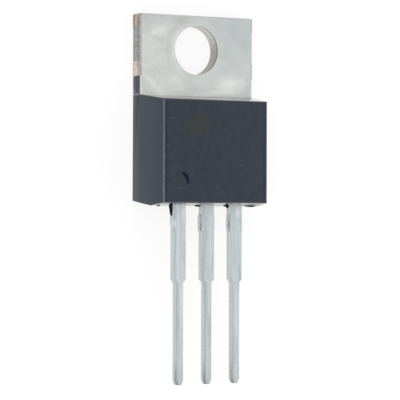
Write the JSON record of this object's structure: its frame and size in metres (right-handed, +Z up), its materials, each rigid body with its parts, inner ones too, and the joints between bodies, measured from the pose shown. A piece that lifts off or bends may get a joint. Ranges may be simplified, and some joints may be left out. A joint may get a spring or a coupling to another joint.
{
  "type": "power mosfet",
  "caption": "Power MOSFET: moulded epoxy body on a drilled metal tab with a flat cooling face, and straight shouldered leads.",
  "frame": {"origin": "centre of the screw hole, in the plane of the flat cooling face", "axes": "+Z up out of the cooling face towards the front of the body, +Y along the part towards the free edge of the tab with the leads towards -Y, +X across it towards the source lead"},
  "size_m": [0.0102, 0.0291, 0.0044],
  "materials": {
    "epoxy": "matt charcoal epoxy moulding compound",
    "plated_tab": "satin plated copper strip, bare copper at the sheared tie bars",
    "plated_leads": "dull tin plate on copper",
    "solder": "dull solder",
    "silicon": null,
    "bond_wire": "bright drawn aluminium"
  },
  "bodies": {
    "root": {"moulded_body": "epoxy", "tab_and_drain_lead": "plated_tab", "gate_lead": "plated_leads", "source_lead": "plated_leads", "die_attach_solder": "solder", "silicon_die": "silicon", "gate_bond_wire": "bond_wire", "source_bond_wire_left": "bond_wire", "source_bond_wire_right": "bond_wire"}
  },
  "joints": []
}
